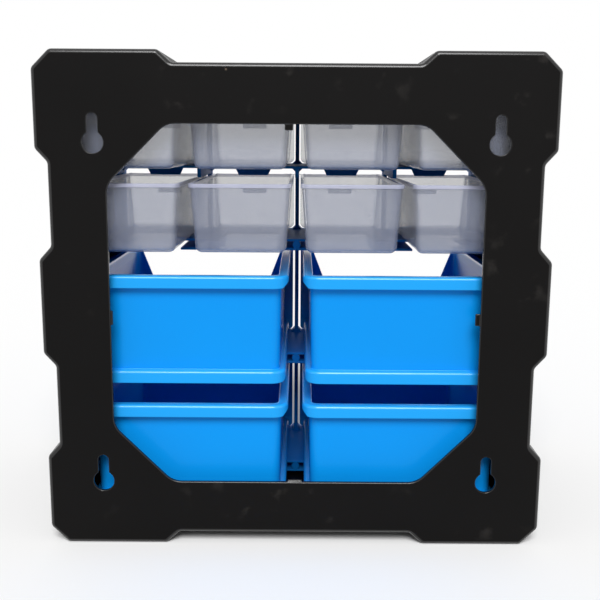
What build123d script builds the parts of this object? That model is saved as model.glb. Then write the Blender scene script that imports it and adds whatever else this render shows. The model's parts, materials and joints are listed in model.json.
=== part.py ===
"""Parts cabinet: a notched plastic case with an open back, a front grid on runners and twelve drawers.

Front faces -Y, back faces +Y, up is +Z. The origin is under the middle of the cabinet, on the floor.
Depths are measured forward from the back face of the case. All sizes are in millimetres.
"""
import os

from build123d import *

# Outer case
case_width = 315.0
case_height = 311.0
case_depth = 165.0
case_wall = 2.5
back_thickness = 2.5
notch_depth = 7.5
corner_cut = 11.0
outline_radius = 4.0
back_edge_radius = 3.0
side_block_length = 59.0
corner_block_height = 58.3
corner_block_width = 75.0
notch_run = 8.3

# Window and keyholes in the back, set in from the edges of the case
window_side_margin = 43.0
window_end_margin = 42.75
window_drop = 0.5
window_corner_cut = 36.5
window_corner_radius = 14.0
window_edge_radius = 0.8
keyhole_side_inset = 35.5
keyhole_end_inset = 48.5
keyhole_drop = 6.0
keyhole_radius = 6.5
keyhole_slot_width = 6.6
keyhole_slot_reach = 17.4

# Gate stubs left on the window edge: width along the edge and reach into the window
top_stub = (5.0, 3.6)
side_stub = (7.5, 3.0)
small_stub = (9.0, 1.2)
top_stub_x = 4.5
side_stub_drop = 6.5

# Rows and columns of the front grid
grid_side_margin = 17.0
grid_top_margin = 18.5
first_row_z = 20.5
drawer_row_pitch = 52.0
grid_depth = 12.0
post_width = 3.0
bar_height = 4.0
bar_gusset = 2.4
bezel_thickness = 3.0
bezel_fit = 0.2

# Stop tabs under the bars
tab_top_width = 28.0
tab_bottom_width = 23.0
tab_thickness = 2.0
tab_overlap = 0.6

# Runners behind the grid
runner_length = 65.0
runner_flange_width = 28.0
runner_flange_thickness = 1.6
runner_height = 8.2
runner_web = 2.6
runner_boss_radius = 2.9
runner_gap = 0.3

# Space around the drawers and bins
drawer_back_gap = 5.5
drawer_front_setback = 1.0
drawer_side_gap = 1.1
drawer_top_gap = 0.4
bin_side_gap = 3.0
bin_front_gap = 1.6
bin_top_gap = 5.7
stop_gap = 1.0

# Small clear drawers
drawer_draft = 3.0
drawer_wall = 1.5
drawer_corner_radius = 5.0
drawer_floor_radius = 4.0
drawer_rim_height = 2.4
drawer_rim_overhang = 0.8
drawer_front_thickness = 1.8

# Large bins
bin_draft = 1.3
bin_wall = 1.8
bin_corner_radius = 6.0
bin_rim_height = 8.0
bin_rim_overhang = 4.5
bin_rim_end_cut = 3.5
bin_rim_edge_radius = 2.0
bin_foot_height = 8.2
bin_foot_overhang = 4.2
bin_foot_end_radius = 3.0
bin_foot_edge_radius = 2.0
bin_front_radius = 3.0
scoop_side_margin = 7.0
scoop_slant = 11.5
scoop_depth = 30.0
scoop_radius = 6.0
scoop_cut = 8.0

# Finger pulls of the small drawers
pull_root_width = 24.0
pull_tip_width = 18.0
pull_drop = 10.0
pull_reach = 11.0
pull_thickness = 2.0
pull_lip_height = 6.0
pull_edge_radius = 0.8

# Sizes that follow
overall_depth = case_depth - drawer_front_setback + pull_reach
back_y = overall_depth / 2
mid_z = case_height / 2
half_width = case_width / 2
grid_back = case_depth - grid_depth
drawer_back = back_thickness + drawer_back_gap
drawer_front = case_depth - drawer_front_setback
drawer_length = drawer_front - drawer_back
window_width = case_width - 2 * window_side_margin
window_height = case_height - 2 * window_end_margin
window_center_z = mid_z - window_drop
keyhole_spacing_x = case_width - 2 * keyhole_side_inset
keyhole_spacing_z = case_height - 2 * keyhole_end_inset
keyhole_center_z = mid_z - keyhole_drop
side_stub_z = mid_z - side_stub_drop
column_pitch = (case_width - 2 * grid_side_margin - post_width) / 4
bin_row_pitch = (case_height - first_row_z - grid_top_margin - 2 * drawer_row_pitch) / 2
drawer_width = column_pitch - post_width - 2 * drawer_side_gap
drawer_height = drawer_row_pitch - runner_height - runner_gap - drawer_top_gap
bin_cell_width = 2 * column_pitch - post_width
bin_width = bin_cell_width - 2 * bin_side_gap
bin_front_width = bin_cell_width - 2 * bin_front_gap
bin_height = bin_row_pitch - runner_height - runner_gap - bin_top_gap
scoop_top_width = bin_width - 2 * scoop_side_margin
scoop_bottom_width = scoop_top_width - 2 * scoop_slant
row_z = [
    first_row_z,
    first_row_z + bin_row_pitch,
    first_row_z + 2 * bin_row_pitch,
    first_row_z + 2 * bin_row_pitch + drawer_row_pitch,
]
bin_rows = row_z[:2]
drawer_rows = row_z[2:]
grid_top_z = row_z[-1] + drawer_row_pitch
grid_half_width = 2 * column_pitch + post_width / 2
bar_tops = [z - runner_gap for z in row_z] + [grid_top_z - runner_gap]
drawer_columns = [-1.5 * column_pitch, -0.5 * column_pitch, 0.5 * column_pitch, 1.5 * column_pitch]
bin_columns = [-column_pitch, column_pitch]


def plane_at(depth):
    """Upright plane at a depth from the back face, drawn in X and Z, looking forward."""
    return Plane.XZ.offset(depth - back_y)


def floor_plane(center_x, depth, z):
    """Level plane whose origin is at a depth from the back face."""
    return Plane(origin=(center_x, back_y - depth, z))


def save(part, name):
    """Label a finished piece and write it."""
    part.label = name
    export_step(part, f"parts/{name}.step")


os.makedirs("parts", exist_ok=True)

# Notched outline of the case, one quarter mirrored to four
with BuildSketch() as case_outline:
    with BuildLine():
        Polyline(
            (half_width, 0),
            (half_width, side_block_length / 2),
            (half_width - notch_depth, side_block_length / 2 + notch_run),
            (half_width - notch_depth, mid_z - corner_block_height - notch_run),
            (half_width, mid_z - corner_block_height),
            (half_width, mid_z - corner_cut),
            (half_width - corner_cut, mid_z),
            (half_width - corner_block_width, mid_z),
            (half_width - corner_block_width - notch_run, mid_z - notch_depth),
            (0, mid_z - notch_depth),
        )
        mirror(about=Plane.YZ)
        mirror(about=Plane.XZ)
    make_face()
    fillet(case_outline.vertices(), outline_radius)

# Outer case: back wall and full-depth side walls in one moulding
with BuildPart() as outer_case:
    with BuildSketch(plane_at(0)):
        with Locations((0, mid_z)):
            add(case_outline.sketch)
    extrude(amount=case_depth)
    back_face = outer_case.faces().sort_by(Axis.Y)[-1]
    fillet(back_face.outer_wire().edges(), back_edge_radius)
    with BuildSketch(plane_at(back_thickness)):
        with Locations((0, mid_z)):
            add(case_outline.sketch)
        offset(amount=-case_wall)
    extrude(amount=case_depth, mode=Mode.SUBTRACT)
    with BuildSketch(plane_at(0)) as window:
        with Locations((0, window_center_z)):
            Rectangle(window_width, window_height)
        chamfer(window.vertices(), window_corner_cut)
        fillet(window.vertices(), window_corner_radius)
    extrude(amount=back_thickness, mode=Mode.SUBTRACT)
    window_edges = outer_case.faces().sort_by(Axis.Y)[-1].inner_wires()[0].edges()
    fillet(window_edges, window_edge_radius)
    with BuildSketch(plane_at(0)):
        with Locations((0, keyhole_center_z)):
            with GridLocations(keyhole_spacing_x, keyhole_spacing_z, 2, 2):
                Circle(keyhole_radius)
                slot_length = keyhole_slot_reach - keyhole_slot_width / 2
                with Locations((0, slot_length / 2)):
                    Rectangle(keyhole_slot_width, slot_length)
                with Locations((0, slot_length)):
                    Circle(keyhole_slot_width / 2)
    extrude(amount=back_thickness, mode=Mode.SUBTRACT)
    window_top = window_center_z + window_height / 2
    window_bottom = window_center_z - window_height / 2
    window_side = window_width / 2
    with BuildSketch(plane_at(window_edge_radius)):
        with Locations((top_stub_x, window_top - top_stub[1] / 2)):
            Rectangle(*top_stub)
        with Locations((side_stub[1] / 2 - window_side, side_stub_z)):
            Rectangle(side_stub[1], side_stub[0])
        with Locations((0, window_bottom + small_stub[1] / 2)):
            Rectangle(*small_stub)
        with Locations((window_side - small_stub[1] / 2, side_stub_z)):
            Rectangle(small_stub[1], small_stub[0])
    extrude(amount=back_thickness - window_edge_radius)
save(outer_case.part, "outer_case")

# Front bezel: flat ring that fills the mouth of the case around the grid
grid_block_height = bar_tops[-1] - bar_tops[0] + bar_height
with BuildPart() as front_bezel:
    with BuildSketch(plane_at(case_depth - bezel_thickness)):
        with Locations((0, mid_z)):
            add(case_outline.sketch)
        offset(amount=-case_wall - bezel_fit)
        with Locations((0, bar_tops[-1] - grid_block_height / 2)):
            Rectangle(2 * grid_half_width, grid_block_height, mode=Mode.SUBTRACT)
    extrude(amount=bezel_thickness)
save(front_bezel.part, "front_bezel")


def make_post(center_x, bottom_z, top_z):
    """Upright post of the grid."""
    with BuildPart() as post:
        with BuildSketch(plane_at(grid_back)):
            with Locations((center_x, (bottom_z + top_z) / 2)):
                Rectangle(post_width, top_z - bottom_z)
        extrude(amount=grid_depth)
    return post.part


grid_bottom_z = bar_tops[0] - bar_height
posts = {
    "left_post": (-2 * column_pitch, grid_bottom_z),
    "left_column_post": (-column_pitch, bar_tops[2]),
    "center_post": (0, grid_bottom_z),
    "right_column_post": (column_pitch, bar_tops[2]),
    "right_post": (2 * column_pitch, grid_bottom_z),
}
for post_name, (post_x, post_bottom) in posts.items():
    save(make_post(post_x, post_bottom, bar_tops[-1]), post_name)


def make_bar(top_z, cell_centers, cell_pitch, rim_z):
    """Level bar between the posts, one length per cell, with a stop tab over each drawer below."""
    bar_bottom = top_z - bar_height
    half_cell = (cell_pitch - post_width) / 2
    bar_middle = top_z - bar_height / 2
    gusset_edges = []
    if top_z < bar_tops[-1]:
        gusset_edges.append((top_z, 1))
    if rim_z is not None:
        gusset_edges.append((bar_bottom, -1))
    with BuildPart() as bar:
        with BuildSketch(plane_at(grid_back)):
            for center_x in cell_centers:
                with Locations((center_x, bar_middle)):
                    Rectangle(2 * half_cell, bar_height)
                for side in (-1, 1):
                    end_x = center_x + side * half_cell
                    for edge_z, way in gusset_edges:
                        with BuildLine():
                            Polyline(
                                (end_x, edge_z),
                                (end_x, edge_z + way * bar_gusset),
                                (end_x - side * bar_gusset, edge_z),
                                close=True,
                            )
                        make_face()
        extrude(amount=grid_depth)
        if rim_z is not None:
            tab_bottom = rim_z - tab_overlap
            with BuildSketch(plane_at(grid_back)):
                for center_x in cell_centers:
                    with BuildLine():
                        Polyline(
                            (center_x - tab_top_width / 2, bar_bottom),
                            (center_x - tab_bottom_width / 2, tab_bottom),
                            (center_x + tab_bottom_width / 2, tab_bottom),
                            (center_x + tab_top_width / 2, bar_bottom),
                            close=True,
                        )
                    make_face()
            extrude(amount=tab_thickness)
    return bar.part


bars = {
    "bottom_sill": (bar_tops[0], bin_columns, 2 * column_pitch, None),
    "bin_bar": (bar_tops[1], bin_columns, 2 * column_pitch, bin_rows[0] + bin_height),
    "middle_bar": (bar_tops[2], bin_columns, 2 * column_pitch, bin_rows[1] + bin_height),
    "drawer_bar": (bar_tops[3], drawer_columns, column_pitch, drawer_rows[0] + drawer_height),
    "top_bar": (bar_tops[4], drawer_columns, column_pitch, drawer_rows[1] + drawer_height),
}
for bar_name, bar_sizes in bars.items():
    save(make_bar(*bar_sizes), bar_name)


def make_runner(center_x, top_z, left_reach, right_reach, over_bins):
    """Runner that carries the edges of the drawers beside it: a T, or over bins an I with a round core."""
    flange_width = left_reach + right_reach
    flange_x = center_x + (right_reach - left_reach) / 2
    upper_flange_z = top_z - runner_flange_thickness / 2
    lower_flange_z = top_z - runner_height + runner_flange_thickness / 2
    with BuildPart() as runner:
        with BuildSketch(plane_at(grid_back - runner_length)):
            with Locations((flange_x, upper_flange_z)):
                Rectangle(flange_width, runner_flange_thickness)
            with Locations((center_x, top_z - runner_height / 2)):
                Rectangle(runner_web, runner_height)
            if over_bins:
                with Locations((flange_x, lower_flange_z)):
                    Rectangle(flange_width, runner_flange_thickness)
                with Locations((center_x, top_z - runner_height / 2)):
                    Circle(runner_boss_radius)
        extrude(amount=runner_length)
    return runner.part


half_flange = runner_flange_width / 2
for row_number, bar_top in enumerate(reversed(bar_tops[:-1]), start=1):
    row_runners = {
        "left_side": (-2 * column_pitch, runner_boss_radius, half_flange),
        "center": (0, half_flange, half_flange),
        "right_side": (2 * column_pitch, half_flange, runner_boss_radius),
    }
    if row_number <= len(drawer_rows):
        row_runners["left_column"] = (-column_pitch, half_flange, half_flange)
        row_runners["right_column"] = (column_pitch, half_flange, half_flange)
    over_bins = row_number >= len(drawer_rows)
    for place, (runner_x, left_reach, right_reach) in row_runners.items():
        runner = make_runner(runner_x, bar_top, left_reach, right_reach, over_bins)
        save(runner, f"{place}_runner_{row_number}")


# Finger pull: a tapered ledge with a lip turned down at its tip
pull_plane = floor_plane(0, drawer_front, drawer_height - pull_drop - pull_lip_height)
pull_hollow = pull_reach - pull_thickness
with BuildPart() as finger_pull:
    with BuildSketch(pull_plane):
        with BuildLine():
            Polyline(
                (-pull_root_width / 2, 0),
                (-pull_tip_width / 2, -pull_reach),
                (pull_tip_width / 2, -pull_reach),
                (pull_root_width / 2, 0),
                close=True,
            )
        make_face()
    extrude(amount=pull_lip_height)
    with BuildSketch(pull_plane):
        with Locations((0, -pull_hollow / 2)):
            Rectangle(pull_root_width, pull_hollow)
    extrude(amount=pull_lip_height - pull_thickness, mode=Mode.SUBTRACT)
    fillet(finger_pull.faces().sort_by(Axis.Y)[0].edges(), pull_edge_radius)


def save_copies(part, kind, columns, rows, first_row):
    """Write one copy of a drawer for each cell, with rows counted from the top."""
    for row_number, floor_z in enumerate(reversed(rows), start=first_row):
        for column_number, center_x in enumerate(columns, start=1):
            place = Location((center_x, 0, floor_z))
            save(part.moved(place), f"{kind}_{row_number}_{column_number}")


rim_mid_depth = drawer_front - drawer_length / 2

# Small open drawer with drafted walls, a thin rim and a finger pull on its flat front
drawer_body_width = drawer_width - 2 * drawer_rim_overhang
drawer_body_length = drawer_length - drawer_rim_overhang
drawer_body_depth = drawer_front - drawer_body_length / 2
drawer_inner_width = drawer_body_width - 2 * drawer_wall
drawer_inner_length = drawer_body_length - drawer_wall - drawer_front_thickness
drawer_inner_depth = drawer_front - drawer_front_thickness - drawer_inner_length / 2
drawer_inner_radius = drawer_corner_radius - drawer_wall
drawer_taper = 2 * drawer_draft
drawer_floor_shift = drawer_draft / 2
with BuildPart() as clear_drawer:
    with BuildSketch(floor_plane(0, drawer_body_depth + drawer_floor_shift, 0)):
        RectangleRounded(
            drawer_body_width - drawer_taper, drawer_body_length - drawer_draft, drawer_corner_radius
        )
    with BuildSketch(floor_plane(0, drawer_body_depth, drawer_height)):
        RectangleRounded(drawer_body_width, drawer_body_length, drawer_corner_radius)
    loft(ruled=True)
    fillet(clear_drawer.faces().sort_by(Axis.Z)[0].edges(), drawer_floor_radius)
    with BuildSketch(floor_plane(0, rim_mid_depth, drawer_height - drawer_rim_height)):
        RectangleRounded(drawer_width, drawer_length, drawer_corner_radius + drawer_rim_overhang)
    extrude(amount=drawer_rim_height)
    with BuildSketch(plane_at(drawer_front - drawer_front_thickness)):
        with Locations((0, drawer_height / 2)):
            RectangleRounded(drawer_width, drawer_height, drawer_floor_radius)
    extrude(amount=drawer_front_thickness)
    with BuildSketch(floor_plane(0, drawer_inner_depth + drawer_floor_shift, drawer_wall)):
        RectangleRounded(
            drawer_inner_width - drawer_taper, drawer_inner_length - drawer_draft, drawer_inner_radius
        )
    with BuildSketch(floor_plane(0, drawer_inner_depth, drawer_height)):
        RectangleRounded(drawer_inner_width, drawer_inner_length, drawer_inner_radius)
    loft(ruled=True, mode=Mode.SUBTRACT)
    add(finger_pull.part)
save_copies(clear_drawer.part, "clear_drawer", drawer_columns, drawer_rows, 1)

# Large bin with a deep rim, a wider foot and a scooped front panel
bin_body_width = bin_width - 2 * bin_rim_overhang
bin_body_length = drawer_length - bin_rim_overhang
bin_body_depth = drawer_front - bin_body_length / 2
bin_taper = 2 * bin_draft
bin_foot_width = bin_body_width - bin_taper + 2 * bin_foot_overhang
bin_foot_length = bin_body_length - bin_draft + bin_foot_overhang
bin_foot_depth = drawer_front - bin_foot_length / 2
bin_inner_width = bin_body_width - 2 * bin_wall
bin_inner_length = bin_body_length - 2 * bin_wall
bin_inner_depth = drawer_front - bin_wall - bin_inner_length / 2
bin_inner_radius = bin_corner_radius - bin_wall
scoop_z = bin_height - scoop_depth
with BuildPart() as bin_rim:
    with BuildSketch(plane_at(drawer_back)) as rim_section:
        with Locations((0, bin_height - bin_rim_height / 2)):
            Rectangle(bin_width, bin_rim_height)
        chamfer(rim_section.vertices().group_by(Axis.Y)[0], bin_rim_end_cut)
    extrude(amount=drawer_length)
    with BuildSketch(floor_plane(0, rim_mid_depth, bin_height - bin_rim_height)):
        RectangleRounded(bin_width, drawer_length, bin_corner_radius + bin_rim_overhang)
    extrude(amount=bin_rim_height, mode=Mode.INTERSECT)
    fillet(bin_rim.faces().sort_by(Axis.Z)[-1].edges(), bin_rim_edge_radius)
with BuildPart() as bin_foot:
    with BuildSketch(plane_at(drawer_front - bin_foot_length)) as foot_section:
        with Locations((0, bin_foot_height / 2)):
            Rectangle(bin_foot_width, bin_foot_height)
        fillet(foot_section.vertices().group_by(Axis.Y)[0], bin_foot_end_radius)
    extrude(amount=bin_foot_length)
    with BuildSketch(floor_plane(0, bin_foot_depth, 0)):
        RectangleRounded(bin_foot_width, bin_foot_length, bin_corner_radius + bin_foot_overhang)
    extrude(amount=bin_foot_height, mode=Mode.INTERSECT)
    fillet(bin_foot.faces().sort_by(Axis.Z)[-1].edges(), bin_foot_edge_radius)
with BuildPart() as blue_bin:
    with BuildSketch(floor_plane(0, bin_body_depth, bin_wall)):
        RectangleRounded(bin_body_width - bin_taper, bin_body_length - bin_taper, bin_corner_radius)
    with BuildSketch(floor_plane(0, bin_body_depth, bin_height - bin_rim_edge_radius)):
        RectangleRounded(bin_body_width, bin_body_length, bin_corner_radius)
    loft(ruled=True)
    add(bin_rim.part)
    add(bin_foot.part)
    with BuildSketch(plane_at(drawer_front - bin_wall)):
        with Locations((0, bin_height / 2)):
            RectangleRounded(bin_front_width, bin_height, bin_front_radius)
    extrude(amount=bin_wall)
    with BuildSketch(floor_plane(0, bin_inner_depth, bin_wall)):
        RectangleRounded(bin_inner_width - bin_taper, bin_inner_length - bin_taper, bin_inner_radius)
    with BuildSketch(floor_plane(0, bin_inner_depth, bin_height)):
        RectangleRounded(bin_inner_width, bin_inner_length, bin_inner_radius)
    loft(ruled=True, mode=Mode.SUBTRACT)
    with BuildSketch(plane_at(drawer_front - scoop_cut)) as scoop:
        with BuildLine():
            Polyline(
                (-scoop_top_width / 2, bin_height),
                (-scoop_bottom_width / 2, scoop_z),
                (scoop_bottom_width / 2, scoop_z),
                (scoop_top_width / 2, bin_height),
                close=True,
            )
        make_face()
        fillet(scoop.vertices().group_by(Axis.Y)[0], scoop_radius)
    extrude(amount=scoop_cut, mode=Mode.SUBTRACT)
save_copies(blue_bin.part, "blue_bin", bin_columns, bin_rows, len(drawer_rows) + 1)

# Travel of each drawer until its back wall meets the stop tab
stop_depth = grid_back - stop_gap
print("drawer travel", round(stop_depth - drawer_back - drawer_rim_overhang - drawer_wall, 2))
print("bin travel", round(stop_depth - drawer_back - bin_rim_overhang - bin_wall, 2))
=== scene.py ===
"""Parts cabinet seen from behind: rounded edges, finishes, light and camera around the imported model."""
import json
import math

import bmesh
import bpy
from mathutils import Matrix, Vector


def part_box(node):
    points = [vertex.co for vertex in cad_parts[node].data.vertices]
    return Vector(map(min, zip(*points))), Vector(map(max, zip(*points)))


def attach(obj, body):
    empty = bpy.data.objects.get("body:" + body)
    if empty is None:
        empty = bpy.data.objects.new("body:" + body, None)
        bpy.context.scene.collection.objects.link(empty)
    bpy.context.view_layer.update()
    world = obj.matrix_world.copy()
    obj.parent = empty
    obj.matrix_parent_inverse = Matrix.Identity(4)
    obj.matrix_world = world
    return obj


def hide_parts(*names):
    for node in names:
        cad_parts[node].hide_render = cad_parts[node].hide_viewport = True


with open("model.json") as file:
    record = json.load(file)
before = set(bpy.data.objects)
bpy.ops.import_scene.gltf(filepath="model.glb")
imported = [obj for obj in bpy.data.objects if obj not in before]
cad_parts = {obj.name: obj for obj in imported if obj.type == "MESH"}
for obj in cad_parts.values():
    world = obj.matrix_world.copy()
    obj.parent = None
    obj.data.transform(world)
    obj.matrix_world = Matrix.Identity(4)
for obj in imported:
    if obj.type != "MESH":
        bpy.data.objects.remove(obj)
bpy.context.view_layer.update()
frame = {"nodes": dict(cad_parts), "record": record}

MM = 0.001

# Camera, placed from the back face, for a lens of 800 pixels on a 600 pixel frame
IMAGE_SIDE = 600
LENS_PIXELS = 800
LENS_AXIS_Y = 271
SENSOR = 36.0
CAMERA_OFFSET = -2.6 * MM
CAMERA_HEIGHT = 258.3 * MM
CAMERA_DISTANCE = 483.5 * MM
CAMERA_NEAR = 10 * MM
CAMERA_TILT = math.radians(9.27)
CAMERA_ROLL = math.radians(0.356)

# Light: a broad lamp behind the camera and above it, and an even glow from all round
KEY_ELEVATION = math.radians(47)
KEY_SPREAD = math.radians(30)
KEY_POWER = 2.8
GLOW = 0.4
WHITE = (1, 1, 1, 1)

# Floor: half its width, and its colour in the picture and in the light that it throws back
FLOOR_SIZE = 20.0
FLOOR_SEEN = (0.95, 0.95, 0.95, 1)
FLOOR_BOUNCE = (0.50, 0.50, 0.50, 1)

# Rounding of the moulded edges, by finish
EDGE_ROUND = {
    "case_black": 0.5 * MM,
    "frame_blue": 0.35 * MM,
    "bin_blue": 0.45 * MM,
    "drawer_clear": 0.35 * MM,
}
EDGE_ANGLE = math.radians(35)
EDGE_SEGMENTS = 2
MERGE_DISTANCE = 0.001 * MM

# Black case: depths behind the back face of the polish on its edges and of the dull gate stubs
CASE_POLISH_IN = (0.01 * MM, 0.08 * MM)
CASE_POLISH_OUT = (3 * MM, 6 * MM)
STUB_DEPTH = 0.8 * MM
STUB_TOLERANCE = 0.02 * MM
SPECK_SCALE = 45.0
CASE_DEEP = (0.0028, 0.0025, 0.0025, 1)
CASE_BRIGHT = (0.0044, 0.0039, 0.0038, 1)
CASE_SMUDGE = (0.050, 0.046, 0.043, 1)
CASE_SPECK = (0.16, 0.12, 0.09, 1)

# Blue frame: a darker copy of the bins' blue, as painted shade deep inside the case
FRAME_SHADED_DEEP = (0.003, 0.19, 0.60, 1)
FRAME_SHADED_BRIGHT = (0.004, 0.22, 0.68, 1)

# Blue bins: where the rim's painted highlight and its polish fade, below the top, and the foot's, above the
# floor
BIN_RIM_FADE = (7.8 * MM, 8.2 * MM)
BIN_RIM_EDGE_FADE = (1.4 * MM, 2 * MM)
BIN_FOOT_FADE = (8.2 * MM, 8.6 * MM)
BIN_FOOT_EDGE_FADE = (6.2 * MM, 6.8 * MM)
BIN_DEEP = (0.003, 0.30, 0.86, 1)
BIN_BRIGHT = (0.004, 0.34, 0.94, 1)
# colour of the painted highlight on the rim and foot
BIN_PAINTED_HIGHLIGHT = (0.03, 0.46, 1.0, 1)

# Clear drawers: where the rim's painted highlight fades, below the top, and the foot's painted reflection of
# blue, above the floor
DRAWER_RIM_FADE = (2.2 * MM, 2.6 * MM)
DRAWER_FOOT_FADE = (0.8 * MM, 4 * MM)
CLEAR_DEEP = (0.29, 0.33, 0.47, 1)
CLEAR_BRIGHT = (0.36, 0.40, 0.54, 1)
# the bluish foot is a painted reflection of the blue runners, and the pale rim is a painted highlight
CLEAR_FOOT_PAINTED_REFLECTION = (0.14, 0.27, 0.58, 1)
CLEAR_RIM_PAINTED_HIGHLIGHT = (0.66, 0.68, 0.88, 1)

# Sockets of a colour mix, which share their names with those for numbers
MIX_FACTOR = 0
MIX_FIRST = 6
MIX_SECOND = 7
MIX_RESULT = 2


class Wire:
    """One output of a node tree, so that shader maths reads as plain arithmetic."""

    def __init__(self, nodes, socket):
        self.nodes = nodes
        self.socket = socket

    def __add__(self, other):
        return self.nodes.math("ADD", self, other)

    def __sub__(self, other):
        return self.nodes.math("SUBTRACT", self, other)

    def __rsub__(self, other):
        return self.nodes.math("SUBTRACT", other, self)

    def __mul__(self, other):
        return self.nodes.math("MULTIPLY", self, other)

    __radd__ = __add__
    __rmul__ = __mul__

    def ramp(self, low, high):
        """0 below low, 1 above high and a smooth rise between them."""
        settings = {"interpolation_type": "SMOOTHSTEP"}
        inputs = {"Value": self, "From Min": low, "From Max": high}
        return self.nodes.node("ShaderNodeMapRange", settings, inputs)


class Nodes:
    """A node tree: node() adds any node, and the other methods are short forms of it."""

    def __init__(self, tree):
        self.tree = tree
        self.tree.nodes.clear()

    def node(self, kind, settings=None, inputs=None, output=0):
        node = self.tree.nodes.new(kind)
        for name, value in (settings or {}).items():
            setattr(node, name, value)
        for name, value in (inputs or {}).items():
            if isinstance(value, Wire):
                self.tree.links.new(value.socket, node.inputs[name])
            else:
                node.inputs[name].default_value = value
        return Wire(self, node.outputs[output]) if node.outputs else None

    def math(self, operation, *values):
        return self.node("ShaderNodeMath", {"operation": operation}, dict(enumerate(values)))

    def mix(self, mask, first, second):
        """Colour that goes from the first to the second as the mask goes from 0 to 1."""
        inputs = {MIX_FACTOR: mask, MIX_FIRST: first, MIX_SECOND: second}
        return self.node("ShaderNodeMix", {"data_type": "RGBA"}, inputs, MIX_RESULT)

    def pictured(self):
        """1 on rays that carry the picture: straight from the camera, mirrored or through clear plastic."""
        mask = self.node("ShaderNodeLightPath", output="Is Camera Ray")
        for ray in ("Is Glossy Ray", "Is Transmission Ray"):
            mask = self.math("MAXIMUM", mask, self.node("ShaderNodeLightPath", output=ray))
        return mask


class Finish(Nodes):
    """A material on Object coordinates."""

    def __init__(self, name):
        self.material = bpy.data.materials.new(name)
        self.material.use_nodes = True
        super().__init__(self.material.node_tree)
        self.place = self.node("ShaderNodeTexCoord", output="Object")

    def axis(self, name):
        return self.node("ShaderNodeSeparateXYZ", None, {"Vector": self.place}, name)

    def rise(self, lower_row, upper_row):
        """Height above the floor of whichever of two rows a point is in."""
        pitch = upper_row[0].z - lower_row[0].z
        return self.math("FLOORED_MODULO", self.axis("Z") - lower_row[0].z, pitch)

    def noise(self, scale, detail=2.0):
        inputs = {"Vector": self.place, "Scale": scale, "Detail": detail}
        return self.node("ShaderNodeTexNoise", None, inputs)

    def cells(self, scale, output):
        return self.node("ShaderNodeTexVoronoi", None, {"Vector": self.place, "Scale": scale}, output)

    def bump(self, height, distance):
        return self.node("ShaderNodeBump", None, {"Height": height, "Distance": distance})

    def surface(self, inputs):
        shader = self.node("ShaderNodeBsdfPrincipled", None, inputs)
        self.node("ShaderNodeOutputMaterial", None, {"Surface": shader})
        return self.material


def black_case_finish(back_y):
    """Black moulded plastic: fine grain, patchy sheen, pale smudges, a few specks and polished back edges."""
    finish = Finish("case_black")
    depth = back_y - finish.axis("Y")
    stub_face = finish.math("COMPARE", depth, STUB_DEPTH, STUB_TOLERANCE)
    polished = depth.ramp(*CASE_POLISH_IN) * (1 - depth.ramp(*CASE_POLISH_OUT)) * (1 - stub_face)
    grain = finish.noise(2400.0)
    patches = finish.noise(16.0, 3.0)
    smudges = finish.noise(70.0, 5.0).ramp(0.58, 0.74) * patches.ramp(0.52, 0.66)
    shades = finish.cells(SPECK_SCALE, "Color")
    chosen = finish.node("ShaderNodeSeparateColor", None, {"Color": shades}).ramp(0.80, 0.82)
    specks = (1 - finish.cells(SPECK_SCALE, "Distance").ramp(0.022, 0.045)) * chosen
    clean = finish.mix(patches, CASE_DEEP, CASE_BRIGHT)
    smudged = finish.mix(smudges * 0.4, clean, CASE_SMUDGE)
    return finish.surface({
        "Base Color": finish.mix(specks * 0.7, smudged, CASE_SPECK),
        "Roughness": 0.36 + 0.14 * patches,
        "Specular IOR Level": 0.10,
        "Coat Weight": 0.8 * polished,
        "Coat Roughness": 0.22,
        "Normal": finish.bump(grain, 0.05 * MM),
    })


def blue_plastic(finish, deep, bright, roughness, specular):
    """Blue moulded plastic with a soft flow of shade and a faint ripple in its gloss."""
    flow = finish.noise(9.0, 3.0)
    ripple = finish.noise(140.0)
    pores = finish.noise(1500.0)
    return {
        "Base Color": finish.mix(flow, deep, bright),
        "Roughness": roughness + 0.10 * flow,
        "Specular IOR Level": specular,
        "Normal": finish.bump(ripple + 0.2 * pores, 0.03 * MM),
    }


def frame_finish():
    """Blue satin frame, darker than the bins as painted shade."""
    finish = Finish("frame_blue")
    # colours darker than the bins': painted shade
    return finish.surface(blue_plastic(finish, FRAME_SHADED_DEEP, FRAME_SHADED_BRIGHT, roughness=0.40, specular=0.10))


def bin_finish(lower_row, upper_row):
    """Bright blue glossy bins with a painted highlight along the rim and foot, and polished upper edges on
    both.
    """
    finish = Finish("bin_blue")
    rise = finish.rise(lower_row, upper_row)
    drop = lower_row[1].z - lower_row[0].z - rise
    rim_highlight = 1 - drop.ramp(*BIN_RIM_FADE)
    foot = 1 - rise.ramp(*BIN_FOOT_FADE)
    rim_edge = 1 - drop.ramp(*BIN_RIM_EDGE_FADE)
    foot_edge = rise.ramp(*BIN_FOOT_EDGE_FADE) * foot
    inputs = blue_plastic(finish, BIN_DEEP, BIN_BRIGHT, roughness=0.18, specular=0.11)
    # rim and foot lightened: a painted highlight where light from above catches them
    inputs["Base Color"] = finish.mix((rim_highlight + foot) * 0.5, inputs["Base Color"], BIN_PAINTED_HIGHLIGHT)
    inputs["Coat Weight"] = 0.9 * (rim_edge + foot_edge)
    inputs["Coat Roughness"] = 0.25
    return finish.surface(inputs)


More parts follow.
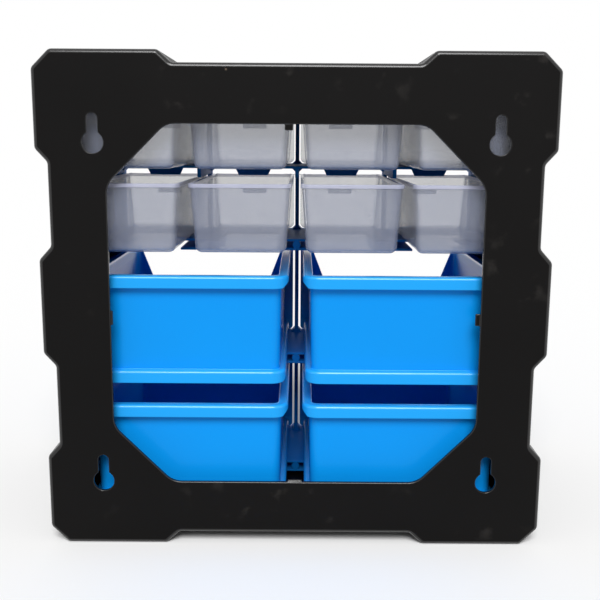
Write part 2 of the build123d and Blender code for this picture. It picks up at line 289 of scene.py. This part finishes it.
def clear_finish(lower_row, upper_row):
    """Clear moulded plastic, slightly milky, denser along its walls and in its rim and foot, with a painted
    highlight on the rim and a painted reflection of the blue runners on the foot.
    """
    finish = Finish("drawer_clear")
    rise = finish.rise(lower_row, upper_row)
    drop = lower_row[1].z - lower_row[0].z - rise
    rim_highlight = 1 - drop.ramp(*DRAWER_RIM_FADE)
    foot = 1 - rise.ramp(*DRAWER_FOOT_FADE)
    haze = finish.noise(26.0, 3.0)
    ripple = finish.noise(90.0)
    edge_on = finish.node("ShaderNodeLayerWeight", None, {"Blend": 0.5}, "Facing")
    walls = finish.mix(haze, CLEAR_DEEP, CLEAR_BRIGHT)
    # foot tinted blue: a painted reflection of the blue runners
    with_foot_reflection = finish.mix(foot * 0.7, walls, CLEAR_FOOT_PAINTED_REFLECTION)
    return finish.surface({
        # pale rim: a painted highlight
        "Base Color": finish.mix(rim_highlight * 0.8, with_foot_reflection, CLEAR_RIM_PAINTED_HIGHLIGHT),
        "Roughness": 0.10 + 0.08 * haze,
        "Specular IOR Level": 0.35,
        "Alpha": 0.24 + 0.34 * edge_on + 0.05 * haze + 0.22 * rim_highlight + 0.12 * foot,
        "Normal": finish.bump(ripple, 0.03 * MM),
    })


FINISHES = {
    "case_black": black_case_finish(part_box("outer_case")[1].y),
    "frame_blue": frame_finish(),
    "bin_blue": bin_finish(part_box("blue_bin_4_1"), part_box("blue_bin_3_1")),
    "drawer_clear": clear_finish(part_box("clear_drawer_2_1"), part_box("clear_drawer_1_1")),
}
BODY_OF = {node: body for body, nodes in frame["record"]["behaviour"]["bodies"].items() for node in nodes}


def soften(node, slot):
    """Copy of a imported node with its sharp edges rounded, which stands for the node on the same body."""
    bm = bmesh.new()
    bm.from_mesh(frame["nodes"][node].data)
    bmesh.ops.remove_doubles(bm, verts=bm.verts, dist=MERGE_DISTANCE)
    sharp = [e for e in bm.edges if e.is_manifold and e.calc_face_angle() > EDGE_ANGLE]
    bmesh.ops.bevel(
        bm, geom=sharp, offset=EDGE_ROUND[slot], offset_type="OFFSET", affect="EDGES",
        segments=EDGE_SEGMENTS, profile=0.5, material=-1, clamp_overlap=False,
    )
    mesh = bpy.data.meshes.new("soft_" + node)
    bm.to_mesh(mesh)
    bm.free()
    mesh.shade_smooth()
    mesh.set_sharp_from_angle(angle=EDGE_ANGLE)
    mesh.materials.append(FINISHES[slot])
    piece = bpy.data.objects.new("soft_" + node, mesh)
    bpy.context.scene.collection.objects.link(piece)
    shading = piece.modifiers.new("flat faces stay flat", "WEIGHTED_NORMAL")
    shading.keep_sharp = True
    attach(piece, BODY_OF[node])
    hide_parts(node)


for row in frame["record"]["subparts"]:
    soften(row["node"], row["material_slot"])


def floor_finish():
    """Pale floor that keeps the cabinet's shadow and throws little light back up."""
    finish = Finish("pale_floor")
    return finish.surface({
        "Base Color": finish.mix(finish.pictured(), FLOOR_BOUNCE, FLOOR_SEEN),
        "Roughness": 0.8,
        "Specular IOR Level": 0.0,
    })


def make_floor():
    """Broad level floor under the cabinet."""
    bm = bmesh.new()
    bmesh.ops.create_grid(bm, x_segments=1, y_segments=1, size=FLOOR_SIZE)
    mesh = bpy.data.meshes.new("floor")
    bm.to_mesh(mesh)
    bm.free()
    mesh.materials.append(floor_finish())
    floor = bpy.data.objects.new("floor", mesh)
    bpy.context.scene.collection.objects.link(floor)


def make_world():
    """White in the picture and in reflections, and a soft glow on everything else."""
    world = bpy.data.worlds.new("studio")
    world.use_nodes = True
    nodes = Nodes(world.node_tree)
    glow = nodes.node("ShaderNodeBackground", None, {"Color": WHITE, "Strength": GLOW})
    white = nodes.node("ShaderNodeBackground", None, {"Color": WHITE, "Strength": 1.0})
    chosen = nodes.node("ShaderNodeMixShader", None, {0: nodes.pictured(), 1: glow, 2: white})
    nodes.node("ShaderNodeOutputWorld", None, {"Surface": chosen})
    bpy.context.scene.world = world


def make_key_light():
    """Broad soft lamp that falls alike on the cabinet and all of the floor."""
    light = bpy.data.lights.new("key", "SUN")
    light.angle = KEY_SPREAD
    light.energy = KEY_POWER
    toward = Vector((0, -math.cos(KEY_ELEVATION), -math.sin(KEY_ELEVATION)))
    lamp = bpy.data.objects.new("key", light)
    lamp.rotation_euler = toward.to_track_quat("-Z", "Y").to_euler()
    bpy.context.scene.collection.objects.link(lamp)


def make_camera(back_y):
    """Camera behind the cabinet, tilted down at its back face."""
    camera = bpy.data.cameras.new("camera")
    camera.sensor_width = SENSOR
    camera.lens = SENSOR * LENS_PIXELS / IMAGE_SIDE
    camera.shift_y = (LENS_AXIS_Y - IMAGE_SIDE / 2) / IMAGE_SIDE
    camera.clip_start = CAMERA_NEAR
    eye = bpy.data.objects.new("camera", camera)
    turn = Matrix.Rotation(math.pi, 4, "Z") @ Matrix.Rotation(math.pi / 2 - CAMERA_TILT, 4, "X")
    roll = Matrix.Rotation(CAMERA_ROLL, 4, "Z")
    place = Matrix.Translation((CAMERA_OFFSET, back_y + CAMERA_DISTANCE, CAMERA_HEIGHT))
    eye.matrix_world = place @ turn @ roll
    bpy.context.scene.collection.objects.link(eye)
    bpy.context.scene.camera = eye


make_floor()
make_world()
make_key_light()
make_camera(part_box("outer_case")[1].y)
bpy.context.scene.view_settings.view_transform = "Standard"
